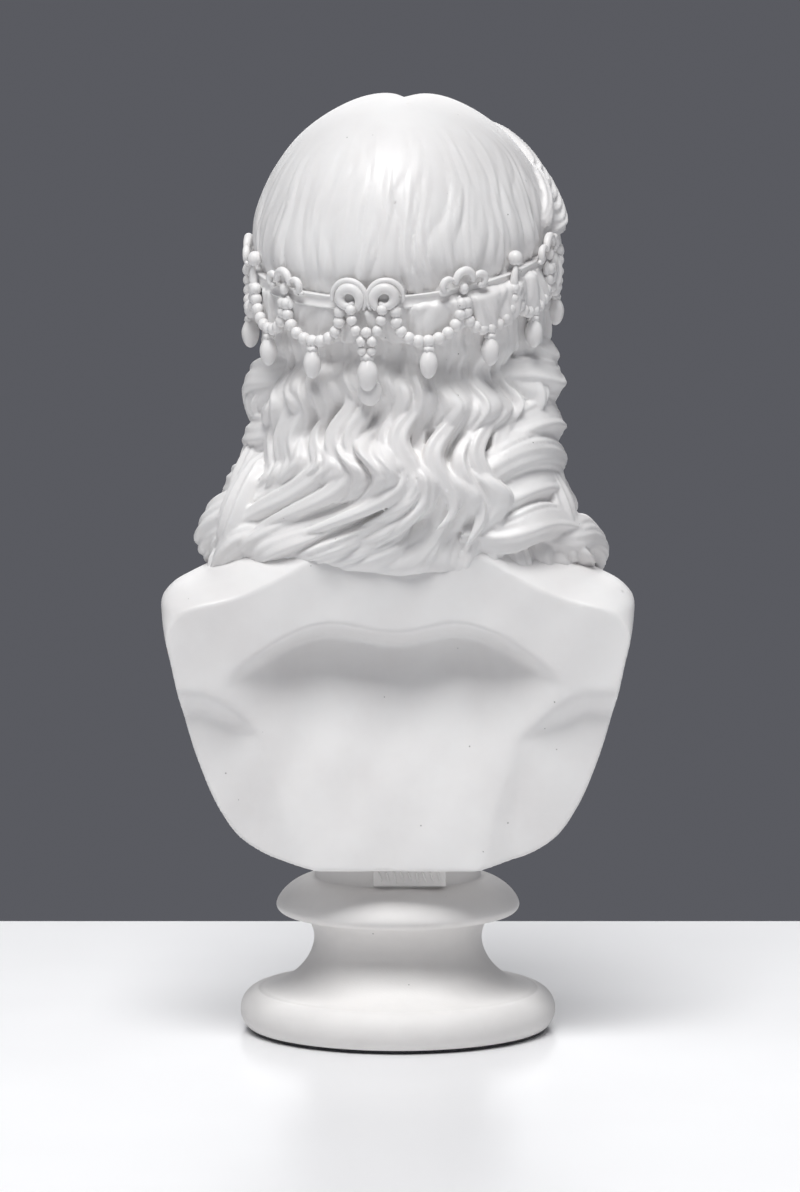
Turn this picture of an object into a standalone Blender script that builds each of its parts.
"""Classical bust of a woman on a turned socle, cast in white stone and cut flat at the back.

Metres, Z up. The origin is the centre of the underside, on the axis of the socle. The figure
faces -Y, so its hollowed back is +Y and its own left is +X. Three solids come out: the bust
(figure, hair, headdress and drapery in one casting), the socle and the felt pad under it.
"""

import math

import bmesh
import bpy
import numpy as np

# Pad and the fine joints between the pieces
PAD_THICK = 0.0010
PAD_INSET = 0.0018
GAP = 0.0003

# Socle: heights of its members from the foot up, then their radii
FOOT_H = 0.0139
SCOTIA_H = 0.0198
UNDER_H = 0.0090
LIP_H = 0.0038
SHOULDER_H = 0.0110
NECK_H = 0.0089
FOOT_R = 0.0583
TORUS_R = 0.0602
TORUS_SWELL = 0.0075
STEP_IN = 0.0072
WAIST_R = 0.0320
UNDER_FLARE = 0.0065
CAPITAL_R = 0.0464
LIP_SWELL = 0.0044
NECK_R = 0.0316
NECK_FILLET = 0.0014

# Levels of the socle's members
SOCLE_FOOT_Z = PAD_THICK + GAP
CREASE_Z = SOCLE_FOOT_Z + FOOT_H
WAIST_Z = CREASE_Z + SCOTIA_H
EDGE_Z = WAIST_Z + UNDER_H + LIP_H
NECK_Z = EDGE_Z + SHOULDER_H
SOCLE_TOP_Z = NECK_Z + NECK_H
SEAT_Z = SOCLE_TOP_Z + GAP

# Maker's tab on the back of the neck
TAB_WIDTH = 0.0274
TAB_HEIGHT = 0.0076
TAB_ASIDE = 0.0044
TAB_PROUD = 0.0019
TAB_ROOT = 0.0116
TAB_DROP = 0.0004

# The figure keeps its pose, proportions and carving as shares of this height over its seat. They
# are written below as they measure at MODEL_H, with the seat at MODEL_SEAT_Z.
FIGURE_H = 0.2887
MODEL_H = 0.2887
MODEL_SEAT_Z = 0.0680

# Head: an egg turned towards the figure's right
HEAD_CENTRE = np.array([-0.002, -0.004, 0.294])
HEAD_TURN = math.radians(-15)
CAP_SEMI = np.array([0.0560, 0.0655, 0.0620])
BAND_WIDTH = 0.0055
BAND_RISE = 0.0140

# Face, in the head's own axes
EYE_X = 0.0160
EYE_Z = -0.0070
EYE_BALL_R = 0.0090

# Torso and the cut at the back
CUT_Y = 0.050
CUT_MID_Z = 0.135

# Fineness of the fusing and of the faceting
VOXELS_HIGH = 206
TRIANGLES = 7800
SOCLE_SIDES = 32

_patterns = {}


def curve(x, xs, ys):
    """A smooth line through (xs, ys), level beyond its ends."""
    xs = np.asarray(xs, float)
    ys = np.asarray(ys, float)
    slope = np.gradient(ys, xs)
    x = np.clip(x, xs[0], xs[-1])
    i = np.clip(np.searchsorted(xs, x) - 1, 0, len(xs) - 2)
    width = xs[i + 1] - xs[i]
    t = (x - xs[i]) / width
    return (
        (2 * t**3 - 3 * t**2 + 1) * ys[i]
        + (t**3 - 2 * t**2 + t) * width * slope[i]
        + (3 * t**2 - 2 * t**3) * ys[i + 1]
        + (t**3 - t**2) * width * slope[i + 1]
    )


def step(x, low, high):
    t = np.clip((x - low) / (high - low), 0, 1)
    return t * t * (3 - 2 * t)


def bell(x, spread):
    return np.exp(-0.5 * (x / spread) ** 2)


def unit(v):
    return v / np.maximum(np.linalg.norm(v, axis=-1, keepdims=True), 1e-12)


def sphere(around, along):
    """Points and faces of a unit sphere, its poles on Z."""
    if (around, along) not in _patterns:
        bm = bmesh.new()
        bmesh.ops.create_uvsphere(bm, u_segments=around, v_segments=along, radius=1)
        points = np.array([v.co for v in bm.verts], float)
        _patterns[(around, along)] = points, [[v.index for v in f.verts] for f in bm.faces]
        bm.free()
    return _patterns[(around, along)]


def sized(p):
    """From the figure's shares to metres over the seat."""
    return (p - np.array([0.0, 0.0, MODEL_SEAT_Z])) * (FIGURE_H / MODEL_H) + np.array([0.0, 0.0, SEAT_Z])


def shares(p):
    """From metres back to the figure's shares."""
    return (p - np.array([0.0, 0.0, SEAT_Z])) * (MODEL_H / FIGURE_H) + np.array([0.0, 0.0, MODEL_SEAT_Z])


class Clay:
    """Overlapping closed forms of the figure, laid in at its size before they are fused."""

    def __init__(self):
        self.points = []
        self.faces = []
        self.count = 0

    def add(self, points, faces):
        self.points.append(sized(points))
        self.faces += [[i + self.count for i in face] for face in faces]
        self.count += len(points)

    def mesh(self, name):
        made = bpy.data.meshes.new(name)
        made.from_pydata(np.concatenate(self.points).tolist(), [], self.faces)
        made.update()
        return made


def to_world(p):
    """From the head's own axes to the figure's."""
    c, s = math.cos(HEAD_TURN), math.sin(HEAD_TURN)
    p = np.asarray(p, float)
    x = c * p[..., 0] - s * p[..., 1]
    y = s * p[..., 0] + c * p[..., 1]
    return np.stack([x, y, p[..., 2]], -1) + HEAD_CENTRE


def to_head(p):
    c, s = math.cos(HEAD_TURN), math.sin(HEAD_TURN)
    p = np.asarray(p, float) - HEAD_CENTRE
    return np.stack([c * p[..., 0] + s * p[..., 1], c * p[..., 1] - s * p[..., 0], p[..., 2]], -1)


def ellipsoid(clay, centre, semi, around=32, along=20):
    points, faces = sphere(around, along)
    clay.add(points * np.array(semi) + np.array(centre), faces)


def lock(clay, path, outward, width, height, around=10, along=22, blunt=0.35, ridges=0, depth=0.0, turn=0.0):
    """A tapered rod along a path: half-width across the surface, half-height off it, and combed ridges."""
    points, faces = sphere(around, along)
    s = np.arccos(np.clip(points[:, 2], -1, 1)) / math.pi
    phi = np.arctan2(points[:, 1], points[:, 0])
    p = path(s)
    tangent = unit(path(np.clip(s + 0.01, 0, 1)) - path(np.clip(s - 0.01, 0, 1)))
    across = unit(np.cross(tangent, outward(p)))
    off = unit(np.cross(across, tangent))
    end = np.clip(np.sin(math.pi * s), 0, 1) ** blunt
    w = width(s) * end
    h = height(s) * end * (1 + depth * np.cos(ridges * phi + turn))
    clay.add(p + across * (w * np.cos(phi))[:, None] + off * (h * np.sin(phi))[:, None], faces)


def same(value):
    return lambda s: np.full_like(s, value)


# Face
def face_half_width(z):
    levels = [-0.062, -0.058, -0.050, -0.040, -0.026, -0.010, 0.006, 0.022, 0.040, 0.052]
    return curve(z, levels, [0.009, 0.0160, 0.0240, 0.0305, 0.0355, 0.0385, 0.0395, 0.0395, 0.036, 0.028])


def face_depth(z):
    levels = [-0.062, -0.058, -0.053, -0.0465, -0.040, -0.034, -0.024, -0.012, -0.003, 0.005, 0.018, 0.034, 0.052]
    reach = [0.0540, 0.0580, 0.0590, 0.0565, 0.0575, 0.0580, 0.0570, 0.0560, 0.0555, 0.0575, 0.0570, 0.0520, 0.040]
    return curve(z, levels, reach)


def face_front(x, z):
    """How far the face stands forward of the plane of the ears."""
    ax = np.abs(x)
    q = np.clip(ax / face_half_width(z), 0, 1)
    p = face_depth(z) * (1 - q**2.3) ** (1 / 2.3)
    # cheeks, sockets, brow and chin
    p += 0.0016 * bell(ax - 0.0245, 0.008) * bell(z + 0.019, 0.007)
    p -= 0.0060 * bell(ax - 0.0150, 0.0085) * bell(z - EYE_Z - 0.0005, 0.0060)
    p += 0.0012 * bell(ax - 0.014, 0.011) * bell(z - 0.0035, 0.0032)
    p += 0.0022 * bell(x, 0.0080) * bell(z + 0.0545, 0.0050)
    p -= 0.0010 * bell(x, 0.010) * bell(z + 0.0475, 0.0022)
    # nose: a ridge that widens to the tip, and the wings beside it
    down = np.clip((0.004 - z) / 0.031, 0, 1)
    ridge = 0.0015 + 0.0098 * down**1.15
    half = 0.0040 + 0.0025 * down
    p += ridge * np.exp(-((ax / half) ** 2.4)) * (1 - step(-z, 0.0255, 0.0315)) * step(-z, -0.012, -0.001)
    p += 0.0046 * bell(ax - 0.0064, 0.0024) * bell(z + 0.0262, 0.0028)
    # lips: two rolls with a cut between them
    m = np.clip(ax / 0.0128, 0, 1)
    off = z + 0.0383
    p += 0.0024 * bell(x, 0.0085) * bell(off - 0.001, 0.0052)
    p += 0.0022 * (1 - m**3) * (bell(off - 0.0020, 0.0013) + bell(off + 0.0026, 0.0016))
    p -= 0.0016 * np.exp(-((off / 0.0007) ** 2)) * (1 - m**6)
    # blank eyeballs behind lids
    rr = (ax - EYE_X) ** 2 + (z - EYE_Z) ** 2
    lid = 0.0404 + np.sqrt(np.clip((EYE_BALL_R + 0.001) ** 2 - rr, 0, None))
    return np.where(rr < EYE_BALL_R**2, np.maximum(p, lid), p)


def face(clay):
    """A block whose front follows face_front."""
    bm = bmesh.new()
    bmesh.ops.create_grid(bm, x_segments=56, y_segments=80, size=1)
    made = bmesh.ops.extrude_face_region(bm, geom=bm.faces[:])
    rear = {v for v in made["geom"] if isinstance(v, bmesh.types.BMVert)}
    behind = np.array([v in rear for v in bm.verts])
    bm.verts.index_update()
    grid = np.array([v.co for v in bm.verts], float)
    faces = [[v.index for v in f.verts] for f in bm.faces]
    bm.free()
    low, high = -0.0615, 0.052
    z = low + (grid[:, 1] + 1) / 2 * (high - low)
    x = np.sign(grid[:, 0]) * np.abs(grid[:, 0]) ** 0.9 * face_half_width(z) * 0.999
    y = np.where(behind, 0.012, -face_front(x, z))
    # the underside of the jaw rises to the neck
    z = z + 0.30 * np.clip(y + 0.050, 0, 0.06) * (1 - step(z, low, -0.040))
    clay.add(to_world(np.stack([x, y, z], -1)), faces)


def neck(clay):
    def column(s):
        return np.stack([0 * s - 0.001, 0.004 + 0.006 * s, 0.262 - 0.095 * s], -1)

    def forward(p):
        return np.tile([0.0, -1.0, 0.0], (len(p), 1))

    lock(clay, column, forward, lambda s: 0.0285 + 0.010 * step(s, 0.55, 1.0), lambda s: 0.030 + 0.004 * step(s, 0.6, 1.0), 32, 24, 0.2)
    for side in (1, -1):
        start = to_world([side * 0.036, 0.008, -0.030])
        end = np.array([side * 0.007, -0.024, 0.184])

        def cord(s, start=start, end=end):
            return start + (end - start) * s[:, None]

        lock(clay, cord, forward, same(0.0048), same(0.0034), 12, 16, 0.3)


# Torso
def outline(theta):
    """Radius of the flat back's outline round (0, CUT_MID_Z), theta from +X towards +Z."""
    half = np.array([
        (0.0, 0.0668), (0.016, 0.0669), (0.030, 0.0680), (0.040, 0.0705), (0.0505, 0.0740), (0.0595, 0.0800),
        (0.0670, 0.0905), (0.0745, 0.1075), (0.0810, 0.1290), (0.0850, 0.1470), (0.0885, 0.1640), (0.0888, 0.1690),
        (0.0850, 0.1735), (0.0770, 0.1775), (0.0640, 0.1835), (0.0500, 0.1905), (0.0380, 0.1975), (0.0200, 0.2020),
        (0.0, 0.2030),
    ])  # fmt: skip
    away = half - np.array([0.0, CUT_MID_Z])
    folded = np.abs((theta + 1.5 * math.pi) % (2 * math.pi) - math.pi) - math.pi / 2
    return curve(folded, np.arctan2(away[:, 1], away[:, 0]), np.linalg.norm(away, axis=1))


def chest(x, z):
    """Forward reach of the chest, measured from y = 0."""
    levels = [0.066, 0.080, 0.100, 0.125, 0.150, 0.170, 0.190, 0.205]
    p = curve(z, levels, [0.0325, 0.0360, 0.0410, 0.0465, 0.0410, 0.0330, 0.0250, 0.0180])
    p = p * (1 - 0.20 * (np.abs(x) / 0.085) ** 2)
    ax = np.abs(x)
    p += 0.0165 * np.exp(-(((ax - 0.0365) / 0.0215) ** 2) - (((z - 0.1235) / 0.0225) ** 2))
    p -= 0.0040 * bell(x, 0.010) * bell(z - 0.128, 0.022)
    # collar bones and the pit of the neck
    bone = 0.1835 + 0.12 * (ax - 0.01)
    p += 0.0022 * bell(z - bone, 0.0030) * step(ax, 0.006, 0.014) * (1 - step(ax, 0.052, 0.070))
    p -= 0.0022 * bell(x, 0.0055) * bell(z - 0.1845, 0.005)
    return p


def drape(x, z):
    """Thickness of the garment: swags hung from the shoulders below a rolled hem."""
    level = z + 0.0470 * (1 - (np.abs(x) / 0.078) ** 2)
    below = 0.180 - level
    on = step(below, -0.0015, 0.0005)
    hem = 0.0020 * bell(level - 0.1790, 0.0018)
    turns = below / 0.0125 + 0.35 * np.sin(x * 62) + 0.25 * np.sin(x * 23 + 1)
    fold = (0.5 + 0.5 * np.cos(2 * math.pi * turns)) ** 1.6
    depth = 0.0036 * (0.4 + 0.6 * step(below, 0, 0.03)) * (1 - 0.65 * step(below, 0.075, 0.105))
    return on * (0.0012 + depth * fold + hem)


def torso(clay):
    points, faces = sphere(120, 80)
    theta = np.arctan2(points[:, 1], points[:, 0])
    rho = np.clip(np.hypot(points[:, 0], points[:, 1]), 0, 1)
    x = outline(theta) * rho * np.cos(theta)
    z = CUT_MID_Z + outline(theta) * rho * np.sin(theta)
    up = step(np.sin(theta), 0.15, 0.55)
    edge = CUT_Y * (1 - up) + 0.012 * up
    soft = (1 - rho**2.6) ** (1 / 2.6)
    tight = (1 - rho**4) ** (1 / 2.2)
    front = edge - (edge + chest(x, z) + drape(x, z)) * (tight * (1 - up) + soft * up)
    back = edge + (0.066 - edge) * soft
    clay.add(np.stack([x, np.where(points[:, 2] < 0, front, back), z], -1), faces)


def arch_z(half):
    """Height of the hollow's upper edge: two low arches that meet in a dip."""
    steps = [0.0, 0.006, 0.014, 0.022, 0.032, 0.042, 0.052, 0.062, 0.072]
    return curve(half, steps, [0.1520, 0.1528, 0.1548, 0.1555, 0.1538, 0.1500, 0.1440, 0.1385, 0.1350])


def back_face(x, z):
    """The furthest back that the stone reaches: the flat cut, the pocket under the arch and the shallow wings."""
    half = np.abs(x - 0.0015)
    down = arch_z(half) - z
    pocket = 0.0235 * step(down, -0.0015, 0.011) * (1 - step(down, 0.008, 0.070)) ** 1.1 * (1 - step(half, 0.034, 0.066))
    ridge = 0.1375 - 0.38 * np.clip(0.072 - half, 0, 0.03)
    pier = 0.026 + 0.12 * np.clip(z - 0.085, 0, 0.05)
    wing = 0.0075 * step(ridge - z, -0.001, 0.020) * step(half, pier, pier + 0.020)
    return CUT_Y - np.maximum(pocket, wing)


# Hair
FALL_Z = [0.168, 0.176, 0.183, 0.190, 0.198, 0.207, 0.216, 0.226, 0.235, 0.243, 0.250, 0.256, 0.262, 0.268, 0.276, 0.285, 0.300]
FALL_HALF = [0.0715, 0.0730, 0.0735, 0.0728, 0.0670, 0.0575, 0.0540, 0.0532, 0.0530, 0.0530, 0.0530, 0.0530, 0.0530, 0.0530, 0.0535, 0.0535, 0.0520]
FALL_BACK = [0.0485, 0.0500, 0.0535, 0.0565, 0.0572, 0.0580, 0.0578, 0.0562, 0.0538, 0.0535, 0.0530, 0.0510, 0.0500, 0.0515, 0.0550, 0.0580, 0.0580]
FALL_TOP = 0.302

# How the locks move, by the azimuth in degrees at which each leaves the band
START = [-110, -85, -62, -50, -40, -24, -11, 2, 24, 44, 65, 90, 120]
SWAY = [1, 3, 4, 5.0, 5.8, 6.2, 5.0, 4.5, 3.6, 2.5, 2.2, 2.0, 0]
WAVE = [34, 34, 36, 38, 38, 38, 38, 34, 29, 24, 24, 26, 26]
SWEEP = [-4, -9, -14, 2, 12, 16, 44, 52, 40, 30, 18, 8, 0]
ONSET = [206, 206, 206, 206, 206, 205, 207, 216, 219, 225, 222, 215, 210]

# Lower edge of the hair by azimuth
EDGE_AT = [-125, -80, -55, -40, -25, 0, 30, 45, 60, 80, 125]
EDGE = [0.176, 0.171, 0.1715, 0.1755, 0.1790, 0.1805, 0.1795, 0.1765, 0.1720, 0.169, 0.172]

# Curls that leave the fall: azimuth and height at the start, middle and end, then the lift of the end and the half-width
CURLS = [
    (-16, 0.2235, -56, 0.2320, -112, 0.2330, 0.0052, 0.0060),
    (-6, 0.2130, -48, 0.2210, -112, 0.2160, 0.0056, 0.0066),
    (-10, 0.2055, -46, 0.2105, -112, 0.2010, 0.0048, 0.0060),
    (-12, 0.1965, -36, 0.2020, -80, 0.1930, 0.0040, 0.0052),
    (-36, 0.2500, -70, 0.2500, -112, 0.2520, 0.0052, 0.0056),
    (-50, 0.2640, -80, 0.2600, -116, 0.2600, 0.0030, 0.0048),
    (-38, 0.1950, -42, 0.1880, -30, 0.1800, 0.0022, 0.0044),
    (56, 0.2600, 82, 0.2460, 112, 0.2300, 0.0044, 0.0056),
    (50, 0.2440, 78, 0.2280, 112, 0.2160, 0.0040, 0.0058),
    (56, 0.2280, 78, 0.2120, 108, 0.2000, 0.0040, 0.0060),
]


def fall(azimuth, z, lift=0.0):
    """A point on the mass of falling hair, azimuth from the middle of the back towards +X."""
    c = np.cos(azimuth)
    deep = np.where(c > 0, curve(z, FALL_Z, FALL_BACK) + lift, 0.020 + 0.010 * step(-z, -0.19, -0.165))
    # it spreads over the left shoulder a little higher than over the right one
    half = curve(z - 0.004 * np.sin(azimuth), FALL_Z, FALL_HALF) + lift
    return np.stack([HEAD_CENTRE[0] + half * np.sin(azimuth), deep * c, z], -1)


def off_fall(p):
    """The direction straight out of the mass of hair."""
    across = (p[:, 0] - HEAD_CENTRE[0]) / curve(p[:, 2], FALL_Z, FALL_HALF) ** 2
    back = np.clip(p[:, 1], 0, 1) / curve(p[:, 2], FALL_Z, FALL_BACK) ** 2 + np.clip(p[:, 1], -1, 0) / 0.039**2
    n = unit(np.stack([across, back, 0 * across], -1))
    slope = (curve(p[:, 2] + 0.003, FALL_Z, FALL_BACK) - curve(p[:, 2] - 0.003, FALL_Z, FALL_BACK)) / 0.006
    n[:, 2] = -slope * np.clip(n[:, 1], 0, 1)
    return unit(n)


def flow(start, z):
    """Azimuth at a height of the strand that leaves the band at an azimuth: S waves, then a sweep to the side."""
    deg = np.degrees(start)
    sway = curve(deg, START, SWAY)
    onset = curve(deg, START, ONSET) * 0.001
    late = 0.55 * np.sin(4.1 * start + 0.8) + 0.30 * np.sin(9.0 * start + 2.0)
    wave = -sway * step(0.270 - z, 0, 0.020) * np.cos(2 * math.pi * (0.2445 - z) / (curve(deg, START, WAVE) * 0.001) + late)
    wave = wave * (1 - 0.65 * step(onset - z, -0.002, 0.014)) + 0.35 * sway * step(0.245 - z, 0, 0.02)
    return start + np.radians(wave + curve(deg, START, SWEEP) * step(onset - z, 0, 0.040))


def ridged(across, down, broad, period):
    """Rounded ridges side by side, which fade out where they would be too fine or too broad."""
    phase = across / period + 0.25 * np.sin(120 * down + 150 * across)
    size = broad * step(broad, 0.0040, 0.0065) * (1 - step(broad, 0.0140, 0.0220))
    return 0.30 * size * (1 - np.abs(2 * (phase - np.floor(phase)) - 1) ** 2.3 - 0.62)


def mane(clay):
    """The mass of hair from the band down, combed into broad locks that follow the flow."""
    points, faces = sphere(300, 90)
    start = np.arctan2(points[:, 0], points[:, 1])
    share = np.arccos(np.clip(points[:, 2], -1, 1)) / math.pi
    z = FALL_TOP + (0.176 - FALL_TOP) * share
    z = FALL_TOP + (curve(np.degrees(flow(start, z)), EDGE_AT, EDGE) - FALL_TOP) * share
    stretch = np.clip((flow(start + 0.006, z) - flow(start - 0.006, z)) / 0.012, 0.15, 6)
    lean = (flow(start, z - 0.001) - flow(start, z + 0.001)) / 0.002 * 0.053
    stretch = stretch / np.sqrt(1 + lean**2)
    across = start * 0.053
    relief = ridged(across, FALL_TOP - z, 0.0125 * stretch, 0.0125) + ridged(across, FALL_TOP - z, 0.0064 * stretch, 0.0064)
    relief = relief * (0.3 + 0.7 * step(0.274 - z, 0, 0.022)) * (1 - step(np.abs(np.degrees(start)), 150, 170))
    skin = fall(flow(start, z), z)
    skin = skin + off_fall(skin) * relief[:, None]
    axis = np.stack([0 * z + HEAD_CENTRE[0], 0 * z, z], -1)
    end = np.clip(np.sqrt(1 - points[:, 2] ** 2), 0, 1) ** 0.035
    clay.add(axis + (skin - axis) * end[:, None], faces)


def curls(clay):
    for a, za, b, zb, c, zc, lift, wide in CURLS:
        def path(s, a=a, za=za, b=b, zb=zb, c=c, zc=zc, lift=lift):
            p = fall(np.radians(curve(s, [0, 0.5, 1], [a, b, c])), curve(s, [0, 0.5, 1], [za, zb, zc]))
            return p + off_fall(p) * (-0.0005 + (lift + 0.0005) * step(s, 0.10, 0.65))[:, None]

        lock(clay, path, off_fall, lambda s, w=wide: w * (0.55 + 0.6 * np.sin(math.pi * s)), lambda s, w=wide: w * (0.35 + 0.5 * step(s, 0, 0.5)), 10, 22, 0.35)


def shoulder_locks(clay):
    """Locks that lie over each shoulder, fanned from the back of it to the breast."""
    for side in (1, -1):
        count = 8
        for i in range(2, count):
            f = i / (count - 1)
            top = np.array([side * (0.0450 + 0.006 * math.sin(math.pi * f)), 0.0330 - 0.054 * f, 0.226 + 0.036 * f**1.5])
            rest = np.array([side * (0.0570 + 0.008 * math.cos(2.2 * (f - 0.3)) - 0.008 * f), 0.0425 - 0.078 * f, 0.1950 - 0.005 * f])
            end = np.array([side * (0.0735 - 0.030 * f**1.6), 0.0370 - 0.082 * f, 0.1775 - 0.022 * f**2])

            def path(s, top=top, rest=rest, end=end, i=i):
                points = np.stack([curve(s, [0, 0.5, 1], [top[m], rest[m], end[m]]) for m in range(3)], -1)
                sway = 0.0036 * np.sin(2 * math.pi * (1.9 * s + 0.23 * i)) * step(s, 0.05, 0.3)
                points[:, 1] += sway
                points[:, 0] += side * 0.5 * sway
                return points

            def out(p, side=side):
                back = 0.75 * step(p[:, 1], 0.015, 0.040) - 0.9 * step(-p[:, 1], 0.0, 0.04)
                return unit(np.stack([side * (1 + 0 * p[:, 0]), back, 0.60 + 0 * p[:, 0]], -1))

            lock(clay, path, out, same(0.0088), same(0.0062), 12, 26, 0.40)


def front_hair(clay):
    """Waves that part over the forehead and sweep back over the temples."""
    for side in (1, -1):
        for j in range(6):
            f = j / 5

            def path(s, f=f, side=side, j=j):
                azimuth = math.radians(4) + s * math.radians(92 + 8 * f)
                z = 0.0385 + 0.015 * f - (0.046 + 0.010 * f) * s**1.35 - 0.0022 * np.sin(2 * math.pi * (2.2 * s + 0.18 * j))
                k = np.sqrt(np.clip(1 - (z / 0.064) ** 2, 0, 1))
                return to_world(np.stack([side * 0.0568 * k * np.sin(azimuth), -0.0660 * k * np.cos(azimuth), z], -1))

            def out(p):
                n = unit(to_head(p) / CAP_SEMI**2)
                return unit(to_world(n) - HEAD_CENTRE)

            lock(clay, path, out, same(0.0054), lambda s: 0.0040 * (0.6 + 0.4 * np.sin(math.pi * s)), 10, 22, 0.35)


def band_z(azimuth):
    """Height of the band over the head's centre: low at the back and high over the brow."""
    return 0.0020 - BAND_RISE * np.cos(azimuth)


def cap(clay):
    """The crown: two lobes beside a parting, drawn in under the band, open at the face."""
    points, faces = sphere(120, 80)
    x, y, z = points.T
    r = np.where(z > 0, (np.hypot(x, y) ** 2.16 + np.abs(z) ** 2.16) ** (-1 / 2.16), 1.0)
    off = z * CAP_SEMI[2] - band_z(np.arctan2(x, y))
    r -= 0.050 * bell(off, 0.0055)
    r += 0.012 * bell(off - 0.017, 0.008)
    r += 0.018 * (bell(x - 0.20, 0.16) + bell(x + 0.20, 0.16)) * step(z, 0.6, 0.98)
    r -= 0.030 * bell(x, 0.050) * step(z, 0.45, 0.90) * step(-y, -0.35, 0.2)
    r -= 0.012 * bell(x, 0.08) * step(z, 0.8, 0.98)
    hairline = 0.50 - 1.6 * np.clip(np.abs(x) - 0.25, 0, 1) ** 2
    r -= 0.17 * step(-y, 0.0, 0.35) * (1 - step(z, hairline - 0.05, hairline + 0.03)) * (1 - step(np.abs(x), 0.74, 0.84))
    r -= 0.10 * step(-off, 0.004, 0.020)
    # combed strands, deepest just above the band
    azimuth = np.arctan2(x, y)
    strands = np.sin(22 * azimuth + 2.2 * np.sin(2.6 * z + 2 * azimuth)) * step(off, 0.002, 0.008) * (1 - step(off, 0.008, 0.034))
    r += 0.010 * strands
    clay.add(to_world(points * CAP_SEMI * r[:, None]), faces)


# Headdress
POSTS = [0.0, 38.7, 62.0, 85.0, 108.3, 131.6, 155.0]


def on_band(azimuth, up=0.0, out=0.0):
    azimuth = np.asarray(azimuth, float)
    z = band_z(azimuth) + up
    k = np.sqrt(np.clip(1 - (z / 0.068) ** 2, 0, 1))
    k = np.where(z < 0, np.maximum(k, 1 - 0.9 * np.abs(z)), k)
    return to_world(np.stack([(0.0553 + out) * k * np.sin(azimuth), (0.0640 + out) * k * np.cos(azimuth), z], -1))


def off_band(p):
    q = to_head(p) / np.array([CAP_SEMI[0] ** 2, CAP_SEMI[1] ** 2, 1e9])
    return unit(to_world(unit(q)) - HEAD_CENTRE)


def ribbon(clay):
    """The band: a ring of small rectangular section."""
    count = 72
    azimuth = np.arange(count) * 2 * math.pi / count
    section = [(-BAND_WIDTH / 2, -0.004), (BAND_WIDTH / 2, -0.004), (BAND_WIDTH / 2, 0.0012), (-BAND_WIDTH / 2, 0.0012)]
    rings = np.stack([on_band(azimuth, up, out) for up, out in section], 1)
    faces = []
    for i in range(count):
        j = (i + 1) % count
        for a in range(4):
            b = (a + 1) % 4
            faces.append([4 * i + a, 4 * j + a, 4 * j + b, 4 * i + b])
    clay.add(rings.reshape(-1, 3), faces)


def rod(clay, azimuth_of, up_of, thick, out=0.0026):
    """A round rod on the head's surface, its azimuth and height given along it."""
    lock(clay, lambda s: on_band(azimuth_of(s), up_of(s), out), off_band, same(thick), same(thick), 8, 18, 0.3)


def headdress(clay):
    ribbon(clay)
    posts = sorted([-p for p in POSTS if p] + POSTS)
    for left, right in zip(posts, posts[1:]):
        lo = left + (9.5 if left == 0 else 0)
        hi = right - (9.5 if right == 0 else 0)
        mid = abs((lo + hi) / 2)
        deep = 0.0120 - 0.0060 * float(step(np.array([mid]), 85, 140)[0])
        rod(
            clay,
            lambda s, lo=lo, hi=hi: np.radians(lo + (hi - lo) * (0.5 - 0.5 * np.cos(math.pi * s))),
            lambda s, deep=deep: -0.003 - deep * np.sin(math.pi * s) ** 0.8,
            0.0021,
        )
        at = on_band(math.radians((lo + hi) / 2), -0.003 - deep - 0.0066, 0.0030)
        ellipsoid(clay, at, (0.0034, 0.0034, 0.0058), 8, 6)
    for post in posts:
        a = math.radians(post)
        if post == 0:
            for side in (1, -1):
                centre = side * 0.108
                rod(
                    clay,
                    lambda s, c=centre, k=side: c - k * 0.088 * (1 - 0.4 * s) * np.cos(np.radians(330 * s)),
                    lambda s: 0.0030 + 0.0056 * (1 - 0.4 * s) * np.sin(np.radians(330 * s)),
                    0.0026,
                    0.0036,
                )
                rod(clay, lambda s, k=side: k * (0.118 - 0.105 * s), lambda s: 0.001 - 0.0170 * s, 0.0022, 0.0040)
            ellipsoid(clay, on_band(0.0, -0.0225, 0.0045), (0.0038, 0.0038, 0.0060), 8, 6)
            ellipsoid(clay, on_band(0.0, -0.0330, 0.0010), (0.0046, 0.0050, 0.0062), 8, 6)
        elif abs(post) in (62.0, 108.3, 155.0):
            ellipsoid(clay, on_band(a, 0.0095, 0.0020), (0.0034, 0.0034, 0.0034), 10, 8)
            rod(clay, lambda s, a=a: a + 0 * s, lambda s: 0.0075 - 0.0130 * s, 0.0024)
        else:
            rod(clay, lambda s, a=a: a - 0.150 * np.cos(math.pi * s), lambda s: 0.0015 + 0.0075 * np.abs(np.sin(1.5 * math.pi * s)) ** 0.6, 0.0023)
            rod(clay, lambda s, a=a: a + 0 * s, lambda s: 0.0030 - 0.0110 * s, 0.0026, 0.0030)


# Fusing
def fused(mesh, voxel, rounds, strength=0.5):
    """One skin round the forms, a little smoothed."""
    return applied(
        mesh,
        ("REMESH", {"mode": "VOXEL", "voxel_size": voxel, "adaptivity": 0.0}),
        ("SMOOTH", {"factor": strength, "iterations": rounds}),
    )


def applied(mesh, *modifiers):
    held = bpy.data.objects.new("clay", mesh)
    bpy.context.scene.collection.objects.link(held)
    for kind, settings in modifiers:
        modifier = held.modifiers.new(kind.lower(), kind)
        for key, value in settings.items():
            setattr(modifier, key, value)
    graph = bpy.context.evaluated_depsgraph_get()
    made = bpy.data.meshes.new_from_object(held.evaluated_get(graph))
    bpy.data.objects.remove(held)
    return made


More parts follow.
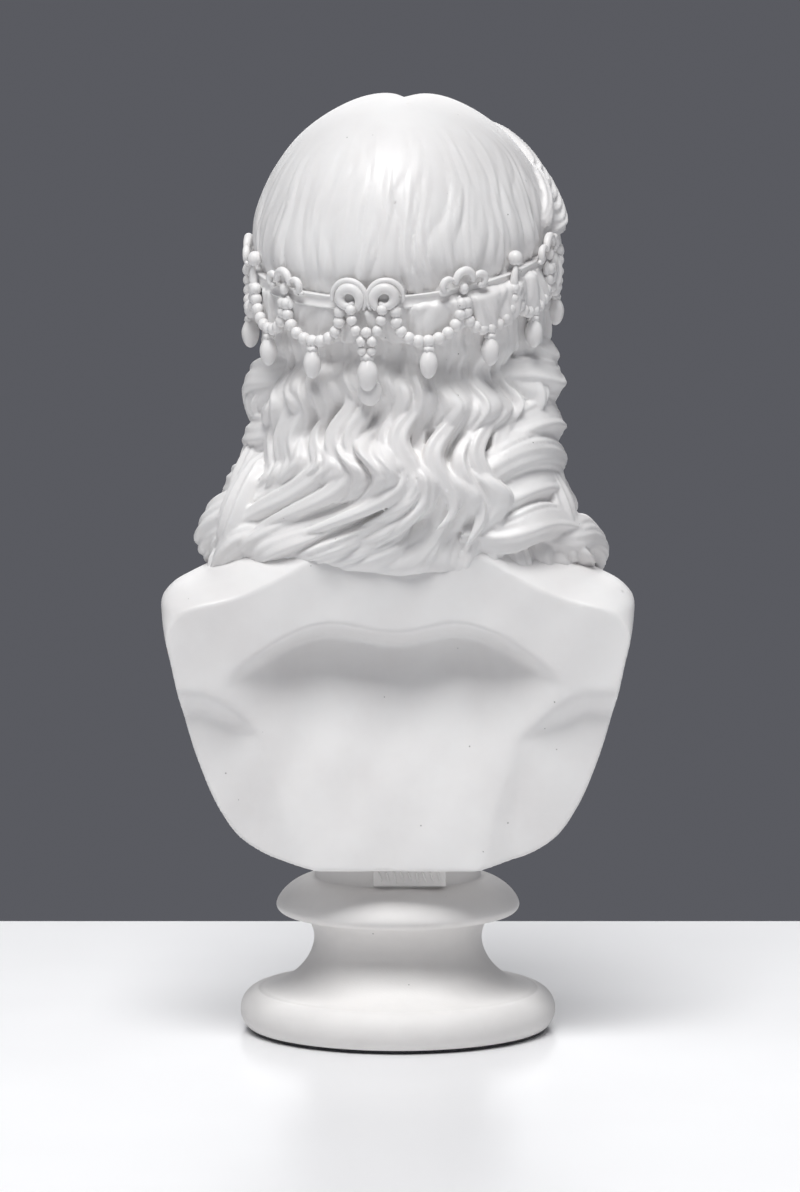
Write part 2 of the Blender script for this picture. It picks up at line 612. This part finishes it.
def outer_skin(mesh):
    """The mesh without the small closed pockets that fusing leaves inside it."""
    bm = bmesh.new()
    bm.from_mesh(mesh)
    left = set(bm.verts)
    shells = []
    while left:
        front = [left.pop()]
        shell = list(front)
        while front:
            near = {e.other_vert(v) for v in front for e in v.link_edges} & left
            left -= near
            front = list(near)
            shell += front
        shells.append(shell)
    shells.sort(key=len)
    for shell in shells[:-1]:
        bmesh.ops.delete(bm, geom=shell, context="VERTS")
    bm.to_mesh(mesh)
    bm.free()
    return mesh


def mended(mesh):
    """The mesh with each place where it pinches to an edge or a point cut out and closed again."""
    bm = bmesh.new()
    bm.from_mesh(mesh)
    for reach in range(6):
        bad = {v for e in bm.edges if len(e.link_faces) != 2 for v in e.verts}
        bad |= {v for v in bm.verts if not v.is_manifold}
        if not bad:
            break
        for _ in range(reach):
            bad |= {e.other_vert(v) for v in bad for e in v.link_edges}
        while bad:
            bmesh.ops.delete(bm, geom=list(bad), context="VERTS")
            bad = {v for v in bm.verts if not v.is_manifold}
        bmesh.ops.holes_fill(bm, edges=[e for e in bm.edges if e.is_boundary], sides=0)
        bmesh.ops.triangulate(bm, faces=[f for f in bm.faces if len(f.verts) > 3])
    bmesh.ops.recalc_face_normals(bm, faces=bm.faces)
    bm.to_mesh(mesh)
    bm.free()
    return outer_skin(mesh)


def thinned(mesh, triangles):
    """The mesh in about so many triangles."""
    ratio = triangles / (2 * len(mesh.polygons))
    return mended(applied(mesh, ("DECIMATE", {"ratio": ratio}), ("TRIANGULATE", {})))


def points_of(mesh):
    flat = np.empty(len(mesh.vertices) * 3, np.float32)
    mesh.vertices.foreach_get("co", flat)
    return flat.reshape(-1, 3).astype(float)


def bust():
    """The figure: body first, cut at the back, then the hair and headdress laid over it."""
    body = Clay()
    face(body)
    ellipsoid(body, to_world([0, 0.004, 0]), (0.046, 0.056, 0.052), 40, 28)
    neck(body)
    torso(body)
    # the boss by which the figure stands on the neck of the socle
    boss = NECK_R * MODEL_H / FIGURE_H
    ellipsoid(body, (0, 0.0045, 0.090), (1.28 * boss, 1.47 * boss, 0.0340), 36, 24)
    cap(body)
    skin = fused(body.mesh("body"), FIGURE_H / VOXELS_HIGH, 1)
    p = shares(points_of(skin))
    p[:, 1] = np.where(p[:, 2] < 0.2, np.minimum(p[:, 1], back_face(p[:, 0], p[:, 2])), p[:, 1])
    p[:, 2] = np.maximum(p[:, 2], MODEL_SEAT_Z)
    whole = Clay()
    whole.add(p, [list(f.vertices) for f in skin.polygons])
    mane(whole)
    curls(whole)
    shoulder_locks(whole)
    front_hair(whole)
    headdress(whole)
    skin = fused(whole.mesh("whole"), 0.9 * FIGURE_H / VOXELS_HIGH, 2, 0.35)
    skin = thinned(skin, TRIANGLES)
    p = points_of(skin)
    near = p[:, 2] < SEAT_Z + 0.0006
    p[near, 2] = SEAT_Z
    p[:, 2] = np.maximum(p[:, 2], SEAT_Z)
    skin.vertices.foreach_set("co", p.astype(np.float32).ravel())
    skin.update()
    return skin


# Socle and pad
def bow(centre, radii, power, start, end, count):
    """Points of a superellipse between two angles in degrees."""
    points = []
    for i in range(count + 1):
        a = math.radians(start + (end - start) * i / count)
        c, s = math.cos(a), math.sin(a)
        r = centre[0] + radii[0] * math.copysign(abs(c) ** (2 / power), c)
        points.append((r, centre[1] + radii[1] * math.copysign(abs(s) ** (2 / power), s)))
    return points


def socle_profile():
    """Half-section from the foot up: torus, scotia, lip, shoulder and neck."""
    foot_z = SOCLE_FOOT_Z + 0.44 * FOOT_H
    foot = bow((TORUS_R - TORUS_SWELL, foot_z), (TORUS_SWELL, 0.575 * FOOT_H), 2.0, -40, 76, 6)
    step_r = TORUS_R - STEP_IN
    crease = [(step_r - 0.04 * TORUS_SWELL, CREASE_Z)]
    scotia = bow((step_r, WAIST_Z), (step_r - WAIST_R, 0.98 * SCOTIA_H), 1.8, 266, 180, 6)
    under = bow((WAIST_R + UNDER_FLARE, WAIST_Z), (UNDER_FLARE, UNDER_H), 2.0, 180, 102, 3)[1:]
    roll = bow((CAPITAL_R - LIP_SWELL, EDGE_Z), (LIP_SWELL, 0.87 * LIP_H), 2.0, -84, 0, 3)
    fillet_r = NECK_R + NECK_FILLET
    shoulder = bow((fillet_r, EDGE_Z), (CAPITAL_R - fillet_r, 0.96 * SHOULDER_H), 1.6, 0, 82, 5)[1:]
    neck_line = [(NECK_R, NECK_Z), (NECK_R, SOCLE_TOP_Z)]
    rim = [(FOOT_R, SOCLE_FOOT_Z)]
    over = [p for p in foot if p[1] > SOCLE_FOOT_Z + 0.02 * FOOT_H]
    return rim + over + crease + scotia + under + roll + shoulder + neck_line


def turned(name, profile, sides):
    """A solid of revolution about Z, closed at the axis."""
    points = [(0.0, profile[0][1])] + list(profile) + [(0.0, profile[-1][1])]
    bm = bmesh.new()
    verts = [bm.verts.new((r, 0, z)) for r, z in points]
    edges = [bm.edges.new(pair) for pair in zip(verts, verts[1:])]
    bmesh.ops.spin(bm, geom=verts + edges, cent=(0, 0, 0), axis=(0, 0, 1), angle=2 * math.pi, steps=sides, use_merge=True)
    bmesh.ops.remove_doubles(bm, verts=bm.verts, dist=1e-5)
    bmesh.ops.recalc_face_normals(bm, faces=bm.faces)
    return placed(name, bm)


def placed(name, bm):
    mesh = bpy.data.meshes.new(name)
    bm.to_mesh(mesh)
    bm.free()
    made = bpy.data.objects.new(name, mesh)
    bpy.context.scene.collection.objects.link(made)
    return made


def socle():
    """The turned socle with the maker's small tab on the back of its neck."""
    body = turned("socle", socle_profile(), SOCLE_SIDES)
    bm = bmesh.new()
    bmesh.ops.create_cube(bm, size=1)
    high = SOCLE_TOP_Z - TAB_DROP
    for v in bm.verts:
        v.co.x = -TAB_ASIDE + math.copysign(TAB_WIDTH / 2, v.co.x)
        v.co.y = NECK_R + TAB_PROUD if v.co.y > 0 else NECK_R - TAB_ROOT
        v.co.z = high if v.co.z > 0 else high - TAB_HEIGHT
    tab = placed("tab_form", bm)
    tab.hide_render = True
    tab.display_type = "WIRE"
    joined = body.modifiers.new("tab", "BOOLEAN")
    joined.operation = "UNION"
    joined.solver = "EXACT"
    joined.object = tab


def main():
    for old in list(bpy.data.objects):
        bpy.data.objects.remove(old)
    figure = bpy.data.objects.new("bust", bust())
    bpy.context.scene.collection.objects.link(figure)
    socle()
    turned("felt_pad", [(FOOT_R - PAD_INSET, 0.0), (FOOT_R - PAD_INSET, PAD_THICK)], SOCLE_SIDES)


main()
